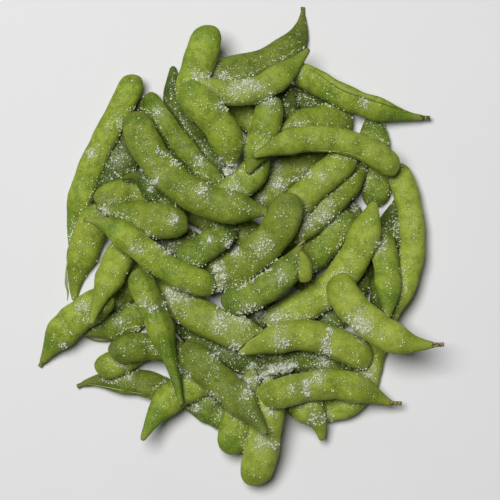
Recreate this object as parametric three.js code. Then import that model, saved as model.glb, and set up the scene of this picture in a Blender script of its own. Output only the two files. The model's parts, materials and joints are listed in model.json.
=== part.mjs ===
// A heap of boiled edamame pods, lying as they were tipped out, in millimetres with +Z up.
// Every pod is one closed solid of its own. Its path in plan is given by hand, from its stem end to its tip;
// its height is worked out, because each pod is laid on those that are already there.
import * as THREE from 'three';

// --- Driving dimensions ----------------------------------------------------------------------------------

const POD_WIDTH = 14;              // across the two sutures, at a bean
const THICKNESS_TO_WIDTH = 0.68;   // a pod is thinner than it is wide
const STEM_TAPER = 9;              // from the stem end to the first bean
const STUB_RADIUS = 1.1;           // stalk left on some pods
const CALYX_RADIUS = 1.6;          // collar where the stalk meets the pod
const TORN_RADIUS = 1.2;           // end of a pod that lost its stalk
const TRAITS = {
  beans: 3, width: POD_WIDTH, roll: 0, stub: 0, torn: TORN_RADIUS, taper: STEM_TAPER, beak: 1, green: 'fresh',
};

const CLEARANCE = 0.3;             // between pods that touch
const CELL = 0.5;                  // height map of the heap
const REACH = 140;                 // half side of the height map
const STEEPEST = 0.35;             // rise over run of a leaning pod
const LEAN_STEPS = 40;             // thirds cut off in the search for a pod's lean
const BENDS = [-0.002, -0.001, 0, 0.001, 0.002];   // how far a soft pod sags, per mm
const FLOOR_FLAT = 0.14;           // of the thickness, pressed flat where a pod lies on the surface
const EDGE_ON = 1e-9;              // a triangle whose plan is smaller than this is seen edge on

// Section of a pod: a lens whose two points are the sutures, as fractions of half the width and half the
// thickness, starting at the right-hand suture and going over the top.
const SECTION = [[1, 0], [0.7, 0.74], [0, 1], [-0.7, 0.74], [-1, 0], [-0.7, -0.74], [0, -1], [0.7, -0.74]];

// The tapering end before the first bean: place along it, share of the width, share of the thickness.
const TAPER_START = [0.3, 0.3, 0.32];
const TAPER_END = [1, 0.72, 0.58];

// Swelling along one bean: place between its two necks, share of the width, share of the thickness.
const BEAN = [[0.33, 1, 1], [0.7, 0.98, 0.96]];
const NECK = [0.94, 0.78];

// The round end: distance from the tip, width, thickness and shift towards a suture, all as shares, and the
// shift of the beak itself.
const ROUND_END = [[0.5, 0.94, 0.82, 0], [0.22, 0.76, 0.6, 0.02], [0.06, 0.45, 0.33, 0.06]];
const BEAK_SHIFT = 0.1;

const GREENS = { pale: 0x9fb04a, fresh: 0x86a135, deep: 0x5f7d22 };

// --- The pods, from the bottom of the heap to its top ----------------------------------------------------

const pods = [];

/**
 * Notes one pod: its name, what is particular to it, and its path in plan from the stem end to the tip.
 * Roll is in degrees, stub is the length of stalk, and beak is the side its tip turns to.
 */
function pod(name, traits, ...path) {
  pods.push({ name, path, ...TRAITS, ...traits });
}

// Bottom layer, mostly hidden.
pod('pod_left_deep_1', { width: 15.5, green: 'deep' },
  [-49.5, 75], [-51.5, 65], [-54.5, 54], [-59, 43], [-63.5, 33.5], [-66.5, 23], [-69, 12]);
pod('pod_left_deep_2', { width: 13, green: 'deep' },
  [-73, -39], [-66, -31], [-58, -23], [-50, -14], [-42, -6]);
pod('pod_front_left_stub', { beans: 2, width: 13.8, roll: 20, stub: 4, taper: 13, green: 'deep' },
  [-82.5, -71.1], [-76, -68.6], [-67, -67.8], [-58, -68], [-48, -69.4], [-39, -72.8], [-32, -76.5]);
pod('pod_front_torn_1', { beans: 2, width: 13.8, green: 'deep' },
  [-31, -80], [-22, -81], [-14, -83.7], [-6, -87.5], [1, -91.5]);
pod('pod_back_deep_1', { width: 13, green: 'deep' }, [56, 72], [40, 72.5], [22, 76], [5, 82], [-12, 87]);
pod('pod_right_deep_1', { beans: 2, width: 15, green: 'deep' },
  [67.5, 70], [67.5, 57], [68.5, 44], [68.8, 32], [68.5, 19.5]);
pod('pod_right_deep_2', { beans: 4, width: 14, green: 'deep' },
  [57, 23], [59, 10], [60, -3], [59.8, -14], [56.5, -25], [49.7, -34.5], [40.5, -42]);
pod('pod_right_deep_3', { width: 13.5, green: 'deep' },
  [79.5, 24], [76.3, 11], [74.6, -1], [73.6, -13], [72.6, -24], [71, -35]);
pod('pod_centre_deep_1', { beans: 4, width: 14, green: 'deep' },
  [-30, 15], [-18, 14], [-6, 10.5], [6, 5], [18, -2], [28, -11], [36, -21]);
pod('pod_centre_deep_2', { beans: 4, width: 16, green: 'deep' },
  [-45, 6.5], [-32, 2.5], [-19, -3.5], [-7, -11], [3, -20], [9.5, -30], [13.5, -41]);
pod('pod_front_deep_1', { width: 14, green: 'deep' },
  [-34, -40], [-22, -46], [-10, -52], [3, -58], [16, -61.5], [30, -61.5]);
pod('pod_front_deep_2', { width: 12.5, green: 'deep' },
  [4, -48], [14, -52], [26, -55.5], [38, -57.5], [48, -59.5], [58, -61.5]);
pod('pod_right_deep_4', { beans: 2, width: 12.5, green: 'pale' },
  [71, -35], [69.5, -45], [67, -55], [64.7, -65], [62.7, -76]);
pod('pod_front_deep_3', { beans: 2, width: 14, green: 'pale' },
  [67.5, -72], [58.3, -77.8], [49.5, -80.8], [41, -82.5], [31.3, -81], [22.5, -77.5]);
pod('pod_back_deep_2', { width: 12, beans: 2, green: 'deep' },
  [25.5, 79], [25, 71], [24, 63], [22, 54], [20, 45]);
pod('pod_back_deep_3', { beans: 2, width: 13 }, [-12, 76], [-3, 70.5], [6, 63], [14, 55], [23, 48]);

// Round the edge.
pod('pod_right_long', { beans: 4, width: 12.5, taper: 15, green: 'pale' },
  [75, -43], [76.8, -35], [79.4, -27], [83, -18], [85.8, -8], [86.9, 2], [86.5, 12], [84.9, 21.5],
  [82.3, 31], [78, 41]);
pod('pod_left_long', { beans: 4, width: 12.3, taper: 17 },
  [-85.8, 0], [-84.9, 9], [-82.4, 19], [-79.1, 29.5], [-75.2, 40], [-70, 51], [-64.2, 62], [-58.4, 73],
  [-52.4, 86.3]);
pod('pod_left_string', { beans: 2, width: 15.7, taper: 17 },
  [-84, -27.5], [-83.5, -19], [-81.3, -9], [-77.6, 1], [-74.3, 11], [-71, 21]);
pod('pod_back_stub', { beans: 2, width: 15, stub: 5, taper: 11, beak: -1, green: 'deep' },
  [31.8, 121], [31, 111.5], [27, 102], [16.5, 94], [5, 89.8], [-7, 87.5], [-18, 85]);
pod('pod_left_split', { beans: 2, width: 13.2, taper: 11, roll: -12 },
  [-80, -44.3], [-71, -42.3], [-63, -40.8], [-56, -38], [-49.5, -33.5], [-44.5, -27.5]);
pod('pod_front_left_1', { beans: 2, width: 13.5 },
  [-33, -49.5], [-42, -50], [-50.5, -52.3], [-61.5, -58.5], [-72.5, -62.7]);
pod('pod_front_left_2', { beans: 2, width: 14, green: 'deep' },
  [-24, -52.5], [-32, -51.5], [-41, -50.5], [-50, -50.5], [-58, -52], [-65, -55]);
pod('pod_left_stub_1', { width: 16, stub: 3, taper: 12 },
  [-101.5, -61], [-97.5, -54.5], [-92.5, -47], [-86.3, -39.9], [-79.3, -34.2], [-71.2, -28.6],
  [-65, -23.5]);
pod('pod_front_blunt_1', { beans: 2, width: 17, beak: 0.4 },
  [6.5, -61], [5, -69], [3, -77], [0, -86], [-3, -96], [-5.5, -104.8]);
pod('pod_front_blunt_2', { beans: 2, width: 17, green: 'pale' },
  [14.5, -65], [13.8, -75], [13.3, -85], [12, -96], [10.3, -105], [8.3, -113], [7, -120.8]);
pod('pod_front_torn_2', { beans: 1, width: 15, taper: 12, green: 'pale' },
  [41.3, -98], [40.3, -91], [37, -85], [31, -80.5], [24.5, -78.5]);

// Back, under the long pods on top.
pod('pod_back_torn_1', { width: 14.5, taper: 12, green: 'deep' },
  [-34, 91], [-33.5, 80], [-30, 69], [-23.5, 57], [-15.8, 45.5], [-7.5, 34]);
pod('pod_back_blunt', { beans: 2, width: 16, beak: 1 },
  [-23, 62], [-24.5, 70], [-24.3, 79], [-21.8, 88], [-18.4, 98], [-15, 110.4]);
pod('pod_centre_slant_3', { width: 15 }, [46, 48], [38, 45], [29.5, 41.5], [22, 36], [15.5, 28.5], [9, 19]);
pod('pod_back_seam_1', { width: 13.5, roll: 30 },
  [-3, 24], [-10, 30], [-18, 36.5], [-25.5, 45], [-33, 54.5], [-41, 65], [-47.5, 76.5]);
pod('pod_centre_salted', { beans: 2, width: 15 },
  [14, 50], [11, 43.5], [6, 36], [-2, 29], [-10, 22], [-18, 15]);
pod('pod_back_short_1', { beans: 2, width: 14 }, [18, 55.5], [27, 59.5], [37, 63], [47, 64], [57, 60.5]);
pod('pod_back_wide', { beans: 2, width: 14.5 }, [4, 36], [7, 44], [10.5, 53], [13.5, 62], [15.5, 75]);
pod('pod_back_seam_2', { width: 14, roll: 35, stub: 5, taper: 15 },
  [96, 64.7], [86, 65.3], [73, 67.7], [61, 71.3], [50, 76], [41, 80.8], [32.5, 85.3], [25, 88.5]);

// Slanting pods in the middle.
pod('pod_centre_slant_1', { beans: 2, width: 16 },
  [25, -15], [33, -8.5], [40, -1], [46.5, 6], [51.5, 12], [54.5, 17.5]);
pod('pod_centre_slant_2', { width: 12.5 },
  [64, 44], [60, 38], [54, 30.5], [47, 22.5], [39.5, 15], [31, 9], [21, 4]);
pod('pod_centre_slant_4', { beans: 2, width: 15, green: 'pale' },
  [17, 11], [25.5, 18.5], [33.5, 26.5], [41.5, 34], [49, 40], [56.5, 45.5]);

// Left side.
pod('pod_left_cross_1', { beans: 2, width: 13 },
  [-36, 19], [-44, 24], [-52.5, 26.7], [-60, 26.6], [-66, 24.7], [-71.8, 20.8]);
pod('pod_left_stub_2', { beans: 2, width: 13, stub: 3, green: 'deep' },
  [-59, 33.5], [-52, 35], [-45.5, 31], [-40, 25.5], [-34, 19], [-28, 11]);
pod('pod_left_stub_3', { beans: 2, width: 17.5, stub: 3, taper: 13 },
  [-72, 19.5], [-61, 17], [-50, 14.2], [-40, 12.5], [-33, 12.3], [-26, 12.7]);
pod('pod_left_torn', { beans: 2, width: 14.5, taper: 19, green: 'pale' },
  [-74, -39], [-72, -31.5], [-68.6, -23.5], [-64.8, -15], [-61, -6], [-57.7, 3]);
pod('pod_front_salted', { width: 17 },
  [16, -46], [7, -45.3], [-3, -42.8], [-15, -37.8], [-27, -31.2], [-37, -23], [-46, -11]);
pod('pod_front_torn_3', { beans: 2, width: 15, taper: 17 },
  [-49, -97.3], [-45, -89.5], [-40.5, -82.5], [-35, -76.8], [-28, -72.3], [-20, -69], [-10, -67]);

// Right side.
pod('pod_right_torn', { beans: 2, width: 13.5, taper: 11, roll: -14 },
  [73.3, -36.5], [74.4, -28], [74.2, -18], [73.2, -8], [71.5, 1], [69.3, 9]);

// Over the middle.
pod('pod_centre_flat', { beans: 2, width: 14, green: 'deep' },
  [-37, -14], [-28, -7.5], [-20, -2.5], [-12, 3.5], [-3, 11.5]);
pod('pod_centre_long', { beans: 4, width: 16.5, torn: 2.4, taper: 10.5, beak: -1 },
  [14, 16.8], [2, 18.5], [-10, 20.3], [-22, 25], [-32, 32], [-42, 42.5], [-49.5, 55], [-53, 67.5]);
pod('pod_centre_wide', { width: 17.5 },
  [-15, -22], [-8, -17], [1, -10], [9, -3], [17, 5.5], [22, 15], [24, 26.5]);
pod('pod_centre_stub', { beans: 3, width: 14.5, stub: 4 },
  [31.8, 3.2], [28.5, -3], [24, -11], [16, -19], [5, -25.3], [-9, -30]);
pod('pod_centre_small', { beans: 1, width: 6.5, taper: 4, green: 'pale' },
  [30, -2.5], [31.7, -7], [32.4, -12], [32.3, -18.3]);
pod('pod_right_slant', { beans: 4, width: 16, taper: 10, green: 'pale' },
  [67.2, 22.5], [64.3, 12], [60.5, 1], [55.3, -9], [47.5, -19], [37.5, -27.3], [26, -33.7], [13, -39.8]);
pod('pod_front_slit', { width: 15.3, taper: 14, green: 'pale' },
  [-0.5, -53.5], [8, -50], [17, -46.5], [27, -44.7], [37, -45.2], [47, -48.3], [56, -52.3], [66, -59]);
pod('pod_right_stub', { width: 16, stub: 6, taper: 13.5, green: 'pale' },
  [101.5, -49], [94, -49.2], [86, -48.8], [79, -46.8], [72, -43.4], [66, -39.3], [60, -34.3], [54.5, -28.5],
  [50.8, -22], [48.8, -14]);
pod('pod_front_stub', { width: 15, stub: 6, taper: 12 },
  [81.4, -79.3], [75.5, -79], [68, -75.3], [60, -72], [50, -69.5], [40, -69.3], [30, -71], [20, -73.3],
  [10.5, -76.5]);

// Top layer.
pod('pod_left_stub_4', { width: 13.5, stub: 4, taper: 10 },
  [-77.5, 13], [-67, 11], [-57, 5], [-48, -2], [-38, -9.8], [-26, -16.3], [-12, -20.5]);
pod('pod_front_ridged', { beans: 2, width: 14.5, taper: 32, roll: -22 },
  [-29.3, -80], [-31, -71], [-34, -60], [-37, -50], [-40, -40], [-43.8, -30], [-48, -20.5], [-52, -11.5]);
pod('pod_front_slant', { width: 15.5, taper: 14, green: 'deep' },
  [12.7, -93.5], [8, -86.3], [1, -78], [-6, -71.2], [-14, -64.3], [-22, -57.3], [-29.5, -50]);
pod('pod_back_cross', { width: 13, taper: 14, green: 'pale' },
  [34.5, 98.5], [27.5, 91], [18, 83.3], [8, 78], [-3, 76.3], [-15, 77], [-29, 77]);
pod('pod_back_top', { beans: 2, width: 16.5, torn: 2.2, taper: 5.5 },
  [-4.6, 39.5], [-5, 45], [-6.7, 53], [-12, 62], [-20, 71], [-29.5, 78.5]);
pod('pod_back_arch', { beans: 4, width: 13, taper: 13, roll: -15, green: 'pale' },
  [6.5, 44.3], [19, 49.7], [32, 53], [45, 53], [57, 50.3], [68, 45.5], [79.5, 37.5]);

// --- One pod: rings of vertices along its path -----------------------------------------------------------

/** Rings along a pod of this length: distance from the stem end, width, thickness, shift towards a suture. */
function profile(length, { width, beans, stub, torn, taper, beak }) {
  const thick = width * THICKNESS_TO_WIDTH;
  const round = (at, radius) => ({ at, width: 2 * radius, thick: 2 * radius, shift: 0 });
  const share = (at, w, t, shift = 0) => (
    { at, width: w * width, thick: t * thick, shift: shift * width * beak }
  );
  const rings = stub > 0 ? [round(0, STUB_RADIUS), round(stub, CALYX_RADIUS)] : [round(0, torn)];
  for (const [at, w, t] of [TAPER_START, TAPER_END]) rings.push(share(stub + at * taper, w, t));
  const first = stub + taper;
  const last = length - ROUND_END[0][0] * width;
  const pitch = (last - first) / beans;
  for (let bean = 0; bean < beans; bean += 1) {
    const start = first + bean * pitch;
    if (bean > 0) rings.push(share(start, ...NECK));
    for (const [at, w, t] of BEAN) rings.push(share(start + at * pitch, w, t));
  }
  for (const [fromTip, w, t, shift] of ROUND_END) rings.push(share(length - fromTip * width, w, t, shift));
  return { rings, beakShift: BEAK_SHIFT * width * beak };
}

/** The pod as a closed mesh lying level, its path at height 0: vertices, faces, and how far each may sink. */
function levelPod(traits) {
  const curve = new THREE.CatmullRomCurve3(traits.path.map(([x, y]) => new THREE.Vector3(x, y, 0)));
  const length = curve.getLength();
  const { rings, beakShift } = profile(length, traits);
  const roll = THREE.MathUtils.degToRad(traits.roll);
  const vertices = [];
  const sinks = [];
  const place = (at, across, up, sink) => {
    const point = curve.getPointAt(Math.min(at / length, 1));
    const along = curve.getTangentAt(Math.min(at / length, 1));
    vertices.push(new THREE.Vector3(point.x + along.y * across, point.y - along.x * across, up));
    sinks.push(sink);
  };
  place(0, 0, 0, 0);
  for (const ring of rings) {
    for (const [x, z] of SECTION) {
      const across = 0.5 * ring.width * x;
      const up = 0.5 * ring.thick * z;
      place(ring.at, ring.shift + across * Math.cos(roll) - up * Math.sin(roll),
        across * Math.sin(roll) + up * Math.cos(roll), FLOOR_FLAT * ring.thick);
    }
  }
  place(length, beakShift, 0, 0);

  const sides = SECTION.length;
  const faces = [];
  for (let side = 0; side < sides; side += 1) {
    const next = (side + 1) % sides;
    faces.push([0, 1 + side, 1 + next]);
    for (let ring = 0; ring < rings.length - 1; ring += 1) {
      const near = 1 + ring * sides;
      const far = near + sides;
      faces.push([near + side, far + side, far + next], [near + side, far + next, near + next]);
    }
    const end = 1 + (rings.length - 1) * sides;
    faces.push([end + side, vertices.length - 1, end + next]);
  }
  return { vertices, faces, sinks };
}

// --- Laying the pods on one another ----------------------------------------------------------------------

const cells = Math.round((2 * REACH) / CELL);
const heapTop = new Float32Array(cells * cells).fill(-Infinity);

/** Calls visit(cell, x, y, z) for each grid point in each triangle's plan. */
function overCells({ vertices, faces }, visit) {
  for (const [a, b, c] of faces.map((face) => face.map((index) => vertices[index]))) {
    const area = (b.x - a.x) * (c.y - a.y) - (c.x - a.x) * (b.y - a.y);
    if (Math.abs(area) < EDGE_ON) continue;
    const column = (x) => (x + REACH) / CELL;
    for (let i = Math.ceil(column(Math.min(a.x, b.x, c.x))); i <= column(Math.max(a.x, b.x, c.x)); i += 1) {
      for (let j = Math.ceil(column(Math.min(a.y, b.y, c.y))); j <= column(Math.max(a.y, b.y, c.y)); j += 1) {
        const x = i * CELL - REACH;
        const y = j * CELL - REACH;
        const v = ((x - a.x) * (c.y - a.y) - (c.x - a.x) * (y - a.y)) / area;
        const w = ((b.x - a.x) * (y - a.y) - (x - a.x) * (b.y - a.y)) / area;
        const z = a.z + v * (b.z - a.z) + w * (c.z - a.z);
        if (v >= 0 && w >= 0 && v + w <= 1) visit(i * cells + j, x, y, z);
      }
    }
  }
}

/** The heap's height at a cell and the eight round it. */
function heapNear(cell) {
  let top = -Infinity;
  for (const row of [-cells, 0, cells]) {
    for (const step of [-1, 0, 1]) top = Math.max(top, heapTop[cell + row + step]);
  }
  return top;
}

/** The line rise + slope * t that stays above every (t, height) and has its middle, t = 0, lowest. */
function restingLine(limits, bend) {
  const riseAt = (slope) => {
    let rise = -Infinity;
    for (const { t, height } of limits) rise = Math.max(rise, height - slope * t - bend * t * t);
    return rise;
  };
  let low = -STEEPEST;
  let high = STEEPEST;
  for (let step = 0; step < LEAN_STEPS; step += 1) {
    const third = (high - low) / 3;
    if (riseAt(low + third) < riseAt(high - third)) {
      high -= third;
    } else {
      low += third;
    }
  }
  const slope = 0.5 * (low + high);
  return { rise: riseAt(slope), slope, bend };
}

/** Lowers a level pod on to the heap, where it leans and sags on what it meets, and adds it to the heap. */
function settle(level) {
  const middle = new THREE.Vector3();
  for (const vertex of level.vertices) middle.addScaledVector(vertex, 1 / level.vertices.length);
  const chord = new THREE.Vector3().subVectors(level.vertices.at(-1), level.vertices[0]).setZ(0).normalize();
  const along = (x, y) => (x - middle.x) * chord.x + (y - middle.y) * chord.y;

  const limits = level.vertices.map(({ x, y, z }, index) => (
    { t: along(x, y), height: -level.sinks[index] - z }
  ));
  overCells(level, (cell, x, y, z) => {
    const top = heapNear(cell);
    if (top > -Infinity) limits.push({ t: along(x, y), height: top + CLEARANCE - z });
  });

  const spread = level.vertices.reduce((sum, { x, y }) => sum + along(x, y) ** 2, 0) / level.vertices.length;
  const lines = BENDS.map((bend) => restingLine(limits, bend));
  const best = lines.reduce((a, b) => (b.rise + b.bend * spread < a.rise + a.bend * spread ? b : a));
  const vertices = level.vertices.map(({ x, y, z }) => {
    const t = along(x, y);
    return new THREE.Vector3(x, y, Math.max(0, z + best.rise + best.slope * t + best.bend * t * t));
  });
  const laid = { vertices, faces: level.faces };
  overCells(laid, (cell, x, y, z) => {
    heapTop[cell] = Math.max(heapTop[cell], z);
  });
  return laid;
}

// --- The heap --------------------------------------------------------------------------------------------

const laidPods = pods.map((traits) => ({ traits, ...settle(levelPod(traits)) }));
const box = new THREE.Box3().setFromPoints(laidPods.flatMap(({ vertices }) => vertices));
const middle = box.getCenter(new THREE.Vector3());

const heap = new THREE.Group();
for (const { traits, vertices, faces } of laidPods) {
  const geometry = new THREE.BufferGeometry();
  const numbers = vertices.flatMap(({ x, y, z }) => [x - middle.x, y - middle.y, z]);
  geometry.setAttribute('position', new THREE.Float32BufferAttribute(numbers, 3));
  geometry.setIndex(faces.flat());
  geometry.computeVertexNormals();
  const color = GREENS[traits.green];
  const material = new THREE.MeshStandardMaterial({ color, roughness: 0.5, metalness: 0 });
  const mesh = new THREE.Mesh(geometry, material);
  mesh.name = traits.name;
  heap.add(mesh);
}

export default heap;
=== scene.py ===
"""Visual model of a heap of boiled, salted edamame pods, seen from straight above.

Lengths are in metres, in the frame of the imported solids. Each pod gets a fine skin, drawn through the
rings of its solid, and the heap gets fuzz, salt, dry stalks, threads and seams.
"""
import json
import math
import random

import bmesh
import bpy
import numpy as np
from mathutils import Euler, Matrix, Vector, noise
from mathutils.bvhtree import BVHTree


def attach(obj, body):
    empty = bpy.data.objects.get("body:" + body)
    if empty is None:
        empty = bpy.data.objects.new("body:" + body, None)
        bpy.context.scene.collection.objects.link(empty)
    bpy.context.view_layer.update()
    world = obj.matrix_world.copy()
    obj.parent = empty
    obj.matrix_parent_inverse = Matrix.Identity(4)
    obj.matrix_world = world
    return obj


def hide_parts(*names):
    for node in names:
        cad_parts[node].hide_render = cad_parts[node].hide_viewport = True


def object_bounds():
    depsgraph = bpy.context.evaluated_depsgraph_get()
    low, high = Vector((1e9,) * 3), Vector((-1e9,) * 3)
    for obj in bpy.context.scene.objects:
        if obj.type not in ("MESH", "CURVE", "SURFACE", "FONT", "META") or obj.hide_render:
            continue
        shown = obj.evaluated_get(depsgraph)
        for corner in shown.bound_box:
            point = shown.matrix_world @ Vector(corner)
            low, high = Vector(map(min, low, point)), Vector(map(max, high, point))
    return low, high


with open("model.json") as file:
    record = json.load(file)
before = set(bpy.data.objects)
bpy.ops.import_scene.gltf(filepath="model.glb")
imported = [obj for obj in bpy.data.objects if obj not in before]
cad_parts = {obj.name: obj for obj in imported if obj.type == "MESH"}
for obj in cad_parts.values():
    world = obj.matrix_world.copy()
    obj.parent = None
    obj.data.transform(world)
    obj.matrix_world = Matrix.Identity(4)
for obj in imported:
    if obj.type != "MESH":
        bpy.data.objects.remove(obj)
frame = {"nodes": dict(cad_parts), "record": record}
cad_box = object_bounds()

MM = 0.001
TINY = 1e-12            # keeps a division from failing at a point
UP = np.array([0.0, 0.0, 1.0])

# --- Places ---------------------------------------------------------------------------------------

# The heap's frame starts at the middle of its box. Places on the heap are given from the middle of the plate.
PLATE_MIDDLE = (0.454, -0.286)
VIEW_MIDDLE = (5.0, -2.0)       # what the camera looks at


def spot(x, y):
    """A place in the heap's frame, in metres, from millimetres counted from the plate's middle."""
    return (x + PLATE_MIDDLE[0]) * MM, (y + PLATE_MIDDLE[1]) * MM


# Where salt lies thick: x, y and spread in millimetres, grains, and how high they pile.
CLUMPS = [
    # at the back
    (-2, 78, 3.0, 100, 0.5), (4, 81, 2.2, 90, 0.5), (8, 79, 1.8, 50, 0.4), (-8.5, 85, 1.4, 25, 0.3),
    (-16, 85, 1.8, 35, 0.3), (-21.5, 85, 1.4, 30, 0.3), (-8.5, 69, 1.8, 45, 0.3),
    (-41, 67, 1.6, 30, 0.2), (15.5, 72, 2.6, 60, 0.2), (62, 72, 1.4, 24, 0.3), (28.5, 62, 0.8, 16, 0.6),
    (-62, 44, 3.0, 45, 0.2), (-75, 46.5, 1.6, 34, 0.3), (-20.5, 42.5, 1.8, 60, 0.6),
    (-10, 43, 1.2, 24, 0.4), (-5, 38, 2.4, 150, 0.8), (-3, 29, 2.2, 50, 0.3), (-19, 27.5, 2.2, 70, 0.6),
    (-42, 33, 1.8, 45, 0.3), (-45, 28, 1.0, 18, 0.4), (19.5, 31, 2.4, 110, 0.8),
    (18.5, 40, 1.8, 45, 0.4), (33, 39, 1.2, 20, 0.5), (40.5, 35, 1.6, 26, 0.2),
    # in the middle
    (-68, 17.5, 2.0, 50, 0.5), (-33, 13.5, 1.8, 40, 0.3), (-46, 6.5, 1.0, 14, 0.3),
    (-40, 1, 1.8, 40, 0.4), (-35, -1.5, 2.2, 60, 0.5), (-52, -1, 1.8, 36, 0.3),
    (-15, 3.5, 1.2, 30, 0.4), (-6, 1, 1.8, 90, 0.9), (-2, -3.5, 1.8, 50, 0.4), (11, 0, 3.0, 80, 0.3),
    (10.5, 24.5, 1.8, 45, 0.4), (34, 12, 3.0, 80, 0.3), (43, 14.5, 2.6, 100, 0.4),
    (45.5, 22, 1.4, 24, 0.2), (58, 20, 1.6, 50, 0.6), (70, 0, 2.0, 70, 0.6), (20.5, -15, 2.4, 40, 0.2),
    (-10.5, -11, 2.2, 150, 0.8), (-9, -16, 1.8, 60, 0.5), (-10.5, -22, 1.8, 50, 0.4),
    (-34, -24, 2.6, 100, 0.5), (-28, -25, 2.0, 50, 0.4), (-37, -29, 1.4, 30, 0.4),
    (-48, -28, 1.6, 40, 0.4), (-43, -31, 1.4, 30, 0.3), (-79, -30, 1.8, 40, 0.5),
    (-60.5, -38.5, 1.8, 40, 0.3), (-89, -50, 1.2, 26, 0.4), (4, -31, 2.4, 50, 0.3),
    (9.5, -33.5, 2.0, 90, 0.8), (18, -36, 3.0, 80, 0.4), (1.5, -37, 2.4, 90, 0.7),
    (-10, -38, 3.2, 130, 0.5), (58.5, -37.5, 3.2, 160, 0.6), (62, -41, 2.0, 60, 0.4),
    (43, -34, 1.6, 36, 0.4),
    # at the front
    (20, -48, 2.6, 100, 0.7), (45, -42.5, 1.2, 60, 0.9), (43, -47.5, 1.5, 70, 0.7),
    (43, -52, 1.5, 50, 0.6), (42, -57, 2.8, 110, 0.6), (17.5, -61.5, 1.9, 210, 0.8),
    (21.5, -61, 1.9, 230, 0.8), (25.5, -60, 1.8, 190, 0.8), (13.5, -64.5, 1.7, 100, 0.8),
    (9.5, -66.5, 1.6, 70, 0.8), (6, -60.5, 1.1, 80, 1.2), (4.5, -68, 1.8, 50, 0.5),
    (3.5, -73.5, 2.0, 60, 0.5), (33, -68.5, 1.5, 60, 0.6), (33, -73, 1.4, 50, 0.6),
    (39, -65.5, 2.2, 60, 0.3), (25.5, -71, 1.6, 30, 0.2), (64, -64, 2.4, 60, 0.4),
    (-2, -51, 2.4, 70, 0.5), (-12.5, -55, 2.2, 70, 0.6), (-14, -76, 2.0, 60, 0.6),
    (-22.5, -82, 1.8, 45, 0.5), (-26, -65, 1.2, 20, 0.3), (-56, -65.5, 1.4, 22, 0.3),
    (15, -82.5, 1.6, 34, 0.3), (36.5, -85.5, 2.0, 60, 0.5), (43, -86.5, 1.8, 45, 0.5),
    (10.5, -97.5, 2.4, 45, 0.2), (17, -99, 1.4, 34, 0.2),
]
# Rows of grains: x and y of both ends, grains, and how far they stray.
STRINGS_OF_SALT = [
    ((-1, -22), (16, -11), 60, 0.35), ((25.5, 33), (36, 36), 60, 0.8), ((-42, 49), (-29, 39), 70, 1.0),
]
# Packed lumps of salt that fill hollows: x, y and height of the middle and the half sizes in millimetres,
# and the turn in degrees.
MOUNDS = [
    (17.4, -62.0, 8.0, 2.6, 2.9, 4.6, 20), (23.6, -61.2, 8.0, 3.9, 2.6, 5.4, 0),
    (28.0, -60.0, 7.5, 1.6, 1.6, 4.4, 0), (10.8, -66.0, 7.4, 2.0, 1.2, 2.4, 35),
    (-5, 37.4, 14.0, 2.6, 2.2, 5.4, 0), (-10.5, -11.5, 13.0, 2.4, 2.0, 5.4, 0),
    (9.2, -33.3, 8.5, 2.2, 1.7, 3.4, 20),
]
FROST_SPREAD = 1.4      # how much wider than a clump its powder lies


def frost_at(points):
    """How thick the powder of salt is at each of these points, from 0 to 1."""
    frost = np.zeros(points.shape[:-1])
    for x, y, spread, _, _ in CLUMPS:
        at = np.array(spot(x, y))
        far = np.linalg.norm(points[..., :2] - at, axis=-1)
        frost += np.exp(-0.5 * (far / (FROST_SPREAD * spread * MM)) ** 2)
    return np.clip(frost, 0, 1)


# --- What sets single pods apart ------------------------------------------------------------------

# How dry and brown a pod's stalk is, from 0 to 1; the others are as green as the pod.
DRY_STALKS = {
    "pod_right_stub": 1.0, "pod_front_stub": 1.0, "pod_back_seam_2": 0.9, "pod_centre_stub": 1.0,
    "pod_back_stub": 0.5, "pod_left_stub_1": 0.5, "pod_front_left_stub": 0.5,
}

# Painted shade: how much darker than its green a pod is, up to DEEPEST; most for those shadowed low in the
# heap.
PAINTED_SHADES = {
    "pod_left_deep_1": 1.1, "pod_back_torn_1": 0.9, "pod_back_deep_1": 1.1, "pod_left_stub_2": 0.8,
    "pod_front_deep_1": 1.0, "pod_right_deep_3": 0.9, "pod_back_deep_2": 0.8, "pod_right_deep_2": 0.8,
    "pod_centre_deep_2": 0.7, "pod_front_left_stub": 0.5, "pod_centre_wide": 0.5, "pod_centre_stub": 0.5,
    "pod_back_seam_1": 0.5, "pod_centre_long": 0.5, "pod_centre_slant_1": 0.4, "pod_left_stub_3": 0.4,
    "pod_left_split": 0.4, "pod_centre_slant_2": 0.4, "pod_front_deep_2": 0.4, "pod_back_cross": 0.3,
    "pod_centre_slant_3": 0.3, "pod_front_salted": 0.3, "pod_back_wide": 0.3, "pod_back_short_1": 0.3,
    "pod_front_left_2": 0.3, "pod_front_torn_1": 0.3, "pod_back_stub": 0.5, "pod_front_blunt_1": 0.2,
    "pod_right_torn": 0.2, "pod_centre_slant_4": 0.2, "pod_back_arch": 0.2, "pod_front_slant": 0.4,
    "pod_centre_flat": 0.2, "pod_front_ridged": 0.2, "pod_left_cross_1": 0.2, "pod_centre_salted": 0.2,
}
DEEPEST = 1.25

# Pods with a sharp crest along them: where, in degrees over the top from the right-hand suture, and how
# high, in millimetres.
CRESTS = {
    "pod_front_ridged": (84, 0.8),
}
CREST_SPREAD = 16       # degrees

# Painted shade in strips along a pod, over a flank and in a groove: from and to, in the same degrees, and how
# dark.
PAINTED_SHADE_STRIPS = {
    "pod_front_ridged": (0, 80, 0.3),
    "pod_back_seam_1": (110, 120, 0.5),
}


# --- Reading a pod's solid ------------------------------------------------------------------------

SIDES = 8               # corners in each ring of a solid
RIGHT, TOP, LEFT, UNDER = 0, 2, 4, 6    # corners of a ring that starts at the right-hand suture
MERGE = 1e6             # corners are the same when they agree to the micrometre
ANGLE_SLACK = 0.01      # radians, so that a ring's first corner stays the first
STUB_RINGS = 0          # what is left over when the rings of a pod with a stalk are counted in threes


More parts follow.
